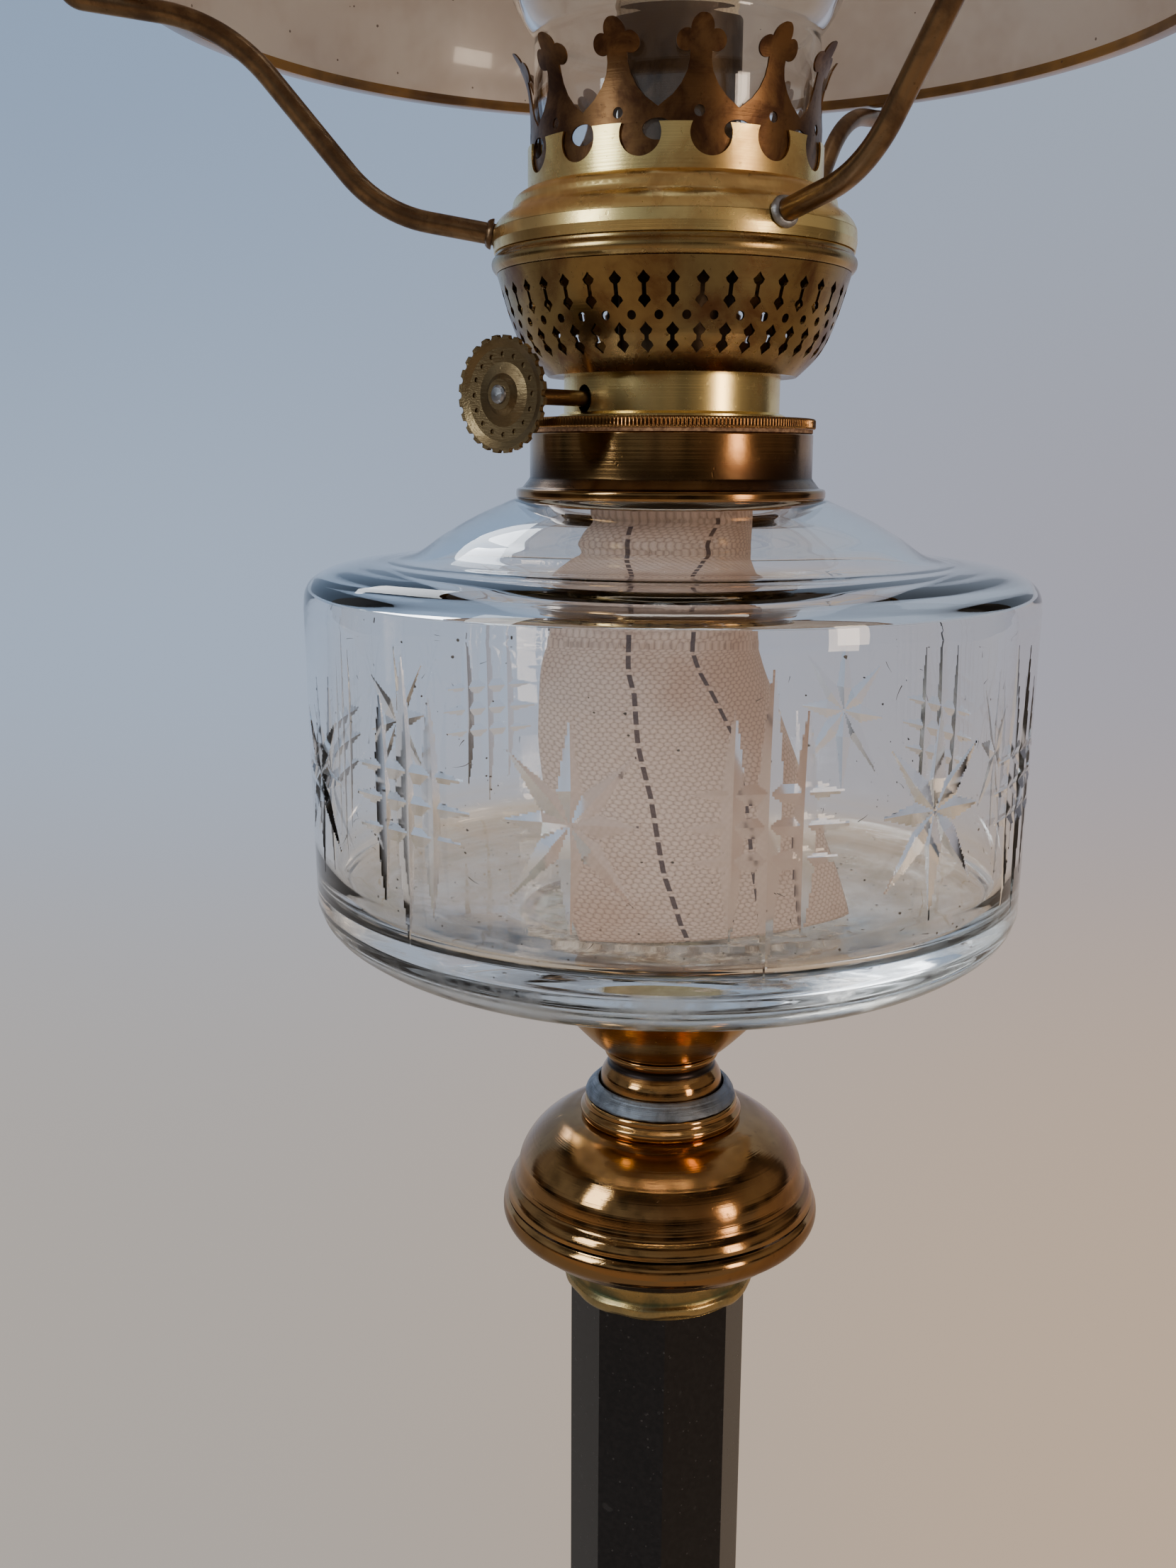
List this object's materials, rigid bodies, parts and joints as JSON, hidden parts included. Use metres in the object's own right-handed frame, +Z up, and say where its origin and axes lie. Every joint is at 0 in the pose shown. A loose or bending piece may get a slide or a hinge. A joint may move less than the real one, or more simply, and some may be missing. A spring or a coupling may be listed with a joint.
{
  "type": "kerosene lamp",
  "caption": "Table lamp with an octagonal stone column, cut-glass fount, round-wick burner, scalloped brass gallery, clear chimney and domed glass shade.",
  "frame": {"origin": "centre of the plinth's underside, on the felt's lower face", "axes": "+Z up along the lamp's axis, -Y towards the front, where the picture was taken from, +X to the viewer's right"},
  "size_m": [0.2066, 0.1954, 0.7041],
  "materials": {
    "felt": "matt felt",
    "stone": "polished black stone",
    "stand_brass": "old polished brass",
    "steel": "dull steel",
    "solder": "lumpy grey solder",
    "plaster": "matt plaster",
    "cork": "cork",
    "fount_glass": "clear heavy glass",
    "burner_brass": "tarnished brass",
    "gallery_brass": "bright yellow brass",
    "arm_brass": "dark brown brass",
    "crown_brass": "heat-browned brass",
    "tube_brass": "scorched brass",
    "knob_brass": "dull brown brass",
    "cotton": "woven cotton",
    "chimney_glass": "thin clear glass",
    "shade_glass": "amber glass cased over white opal glass"
  },
  "bodies": {
    "stand": {"base_felt": "felt", "plinth_lower_step": "stone", "plinth_middle_step": "stone", "plinth_upper_step": "stone", "column": "stone", "column_foot_collar": "stand_brass", "column_cap": "stand_brass", "knop_lower_shell": "stand_brass", "knop_upper_shell": "stand_brass", "neck": "stand_brass", "neck_solder": "solder", "tie_rod": "steel", "tie_rod_washer": "steel", "tie_rod_nut": "steel", "fount_cup": "stand_brass", "cup_plaster": "plaster", "fount_glass": "fount_glass", "collar_plaster": "plaster", "fount_collar": "stand_brass"},
    "seal": {"collar_seal": "cork"},
    "burner": {"burner_base": "burner_brass", "burner_drum": "burner_brass", "basket": "burner_brass", "basket_rim": "burner_brass", "wick_tube": "tube_brass", "air_tube": "tube_brass", "air_duct": "tube_brass", "spindle_bracket": "burner_brass"},
    "winder": {"spindle_shaft": "knob_brass", "wick_wheels": "steel", "winder_knob": "knob_brass", "winder_rivet": "steel"},
    "wick": {"wick": "cotton", "wick_tail": "cotton"},
    "gallery": {"gallery": "gallery_brass", "spring_crown": "crown_brass", "shade_arm_left": "arm_brass", "shade_arm_front": "arm_brass", "shade_arm_back": "arm_brass", "arm_solder": "solder"},
    "chimney": {"chimney": "chimney_glass"},
    "shade": {"shade": "shade_glass"}
  },
  "joints": [
    {"name": "seal_rise", "type": "slide", "parent": "stand", "child": "seal", "axis": [0, 0, 1], "range_m": [0, 0.0064]},
    {"name": "burner_unscrew", "type": "hinge", "parent": "seal", "child": "burner", "pos_m": [0, 0, 0.4253], "axis": [0, 0, 1], "range_deg": [0, 1080]},
    {"name": "winder_turn", "type": "hinge", "parent": "burner", "child": "winder", "pos_m": [-0.00419, 0.00308, 0.4305], "axis": [0.592, 0.8059, 0], "range_deg": [-237, 158]},
    {"name": "wick_slide", "type": "slide", "parent": "burner", "child": "wick", "axis": [0, 0, 1], "range_m": [-0.0121, 0.0081], "deforming": ["wick_tail"]},
    {"name": "gallery_lift", "type": "slide", "parent": "burner", "child": "gallery", "axis": [0, 0, 1], "range_m": [0, 0.04]},
    {"name": "chimney_lift", "type": "slide", "parent": "gallery", "child": "chimney", "axis": [0, 0, 1], "range_m": [0, 0.04]},
    {"name": "shade_lift", "type": "slide", "parent": "gallery", "child": "shade", "axis": [0, 0, 1], "range_m": [0, 0.12]}
  ],
  "couplings": [
    {"joint": "seal_rise", "follows": "burner_unscrew", "m_per_rad": 0.00033423},
    {"joint": "wick_slide", "follows": "winder_turn", "m_per_rad": 0.0029}
  ]
}
